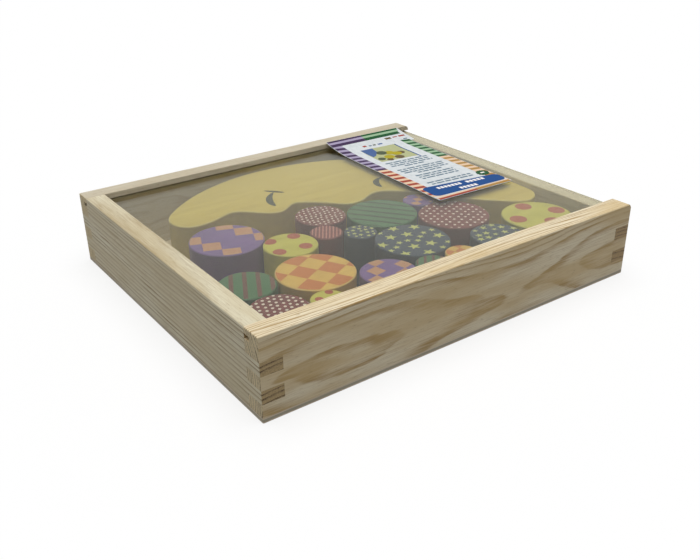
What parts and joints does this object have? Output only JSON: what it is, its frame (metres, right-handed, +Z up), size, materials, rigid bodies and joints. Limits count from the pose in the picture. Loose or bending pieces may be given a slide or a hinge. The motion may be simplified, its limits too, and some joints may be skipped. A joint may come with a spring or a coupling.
{
  "type": "wooden balance game",
  "caption": "Flat pine box with a clear sliding lid, holding a crescent moon rocker and round painted blocks to stack on it, with a printed card on the lid.",
  "frame": {"origin": "underside of the base board, at the middle of the box's length and width", "axes": "+X along the long panels, the way the lid slides out; +Y from the front panel to the back panel; +Z up"},
  "size_m": [0.294, 0.252, 0.0528],
  "materials": {
    "pine": "planed softwood, clear matt",
    "plywood": "sanded thin plywood",
    "clear_acrylic": "clear, glossy",
    "card": "coated printed card",
    "moon_paint": "pale yellow stain, satin",
    "red_paint": "satin paint on wood",
    "green_paint": "satin paint on wood",
    "yellow_paint": "satin paint on wood",
    "orange_paint": "satin paint on wood",
    "purple_paint": "satin paint on wood",
    "navy_paint": "satin paint on wood"
  },
  "bodies": {
    "box": {"front_panel": "pine", "back_panel": "pine", "left_end_panel": "pine", "right_end_panel": "pine", "base_board": "plywood"},
    "lid": {"clear_lid": "clear_acrylic"},
    "card": {"label_card": "card"},
    "moon": {"moon_rocker": "moon_paint"},
    "block_red_dots_corner": {"disc_red_dots_corner": "red_paint"},
    "block_green_medium": {"disc_green_medium": "green_paint"},
    "block_yellow_small": {"disc_yellow_small": "yellow_paint"},
    "block_orange_large": {"disc_orange_large": "orange_paint"},
    "block_purple_medium": {"disc_purple_medium": "purple_paint"},
    "block_green_small": {"disc_green_small": "green_paint"},
    "block_orange_small": {"disc_orange_small": "orange_paint"},
    "block_navy_medium": {"disc_navy_medium": "navy_paint"},
    "block_yellow_large": {"disc_yellow_large": "yellow_paint"},
    "block_navy_large": {"disc_navy_large": "navy_paint"},
    "block_red_large": {"disc_red_large": "red_paint"},
    "block_green_large": {"disc_green_large": "green_paint"},
    "block_purple_small": {"disc_purple_small": "purple_paint"},
    "block_navy_small": {"disc_navy_small": "navy_paint"},
    "block_yellow_medium": {"disc_yellow_medium": "yellow_paint"},
    "block_purple_large": {"disc_purple_large": "purple_paint"},
    "block_red_small": {"disc_red_small": "red_paint"},
    "block_red_medium": {"disc_red_medium": "red_paint"}
  },
  "joints": [
    {"name": "lid_slide", "type": "slide", "parent": "box", "child": "lid", "axis": [1, 0, 0], "range_m": [0, 0.29]},
    {"name": "card_lift", "type": "slide", "parent": "lid", "child": "card", "axis": [0, 0, 1], "range_m": [0, 0.05]},
    {"name": "moon_lift", "type": "slide", "parent": "box", "child": "moon", "axis": [0, 0, 1], "range_m": [0, 0.003]},
    {"name": "block_red_dots_corner_lift", "type": "slide", "parent": "box", "child": "block_red_dots_corner", "axis": [0, 0, 1], "range_m": [0, 0.003]},
    {"name": "block_green_medium_lift", "type": "slide", "parent": "box", "child": "block_green_medium", "axis": [0, 0, 1], "range_m": [0, 0.003]},
    {"name": "block_yellow_small_lift", "type": "slide", "parent": "box", "child": "block_yellow_small", "axis": [0, 0, 1], "range_m": [0, 0.003]},
    {"name": "block_orange_large_lift", "type": "slide", "parent": "box", "child": "block_orange_large", "axis": [0, 0, 1], "range_m": [0, 0.003]},
    {"name": "block_purple_medium_lift", "type": "slide", "parent": "box", "child": "block_purple_medium", "axis": [0, 0, 1], "range_m": [0, 0.003]},
    {"name": "block_green_small_lift", "type": "slide", "parent": "box", "child": "block_green_small", "axis": [0, 0, 1], "range_m": [0, 0.003]},
    {"name": "block_orange_small_lift", "type": "slide", "parent": "box", "child": "block_orange_small", "axis": [0, 0, 1], "range_m": [0, 0.003]},
    {"name": "block_navy_medium_lift", "type": "slide", "parent": "box", "child": "block_navy_medium", "axis": [0, 0, 1], "range_m": [0, 0.003]},
    {"name": "block_yellow_large_lift", "type": "slide", "parent": "box", "child": "block_yellow_large", "axis": [0, 0, 1], "range_m": [0, 0.003]},
    {"name": "block_navy_large_lift", "type": "slide", "parent": "box", "child": "block_navy_large", "axis": [0, 0, 1], "range_m": [0, 0.003]},
    {"name": "block_red_large_lift", "type": "slide", "parent": "box", "child": "block_red_large", "axis": [0, 0, 1], "range_m": [0, 0.003]},
    {"name": "block_green_large_lift", "type": "slide", "parent": "box", "child": "block_green_large", "axis": [0, 0, 1], "range_m": [0, 0.003]},
    {"name": "block_purple_small_lift", "type": "slide", "parent": "box", "child": "block_purple_small", "axis": [0, 0, 1], "range_m": [0, 0.003]},
    {"name": "block_navy_small_lift", "type": "slide", "parent": "box", "child": "block_navy_small", "axis": [0, 0, 1], "range_m": [0, 0.003]},
    {"name": "block_yellow_medium_lift", "type": "slide", "parent": "box", "child": "block_yellow_medium", "axis": [0, 0, 1], "range_m": [0, 0.003]},
    {"name": "block_purple_large_lift", "type": "slide", "parent": "box", "child": "block_purple_large", "axis": [0, 0, 1], "range_m": [0, 0.003]},
    {"name": "block_red_small_lift", "type": "slide", "parent": "box", "child": "block_red_small", "axis": [0, 0, 1], "range_m": [0, 0.003]},
    {"name": "block_red_medium_lift", "type": "slide", "parent": "box", "child": "block_red_medium", "axis": [0, 0, 1], "range_m": [0, 0.003]}
  ]
}
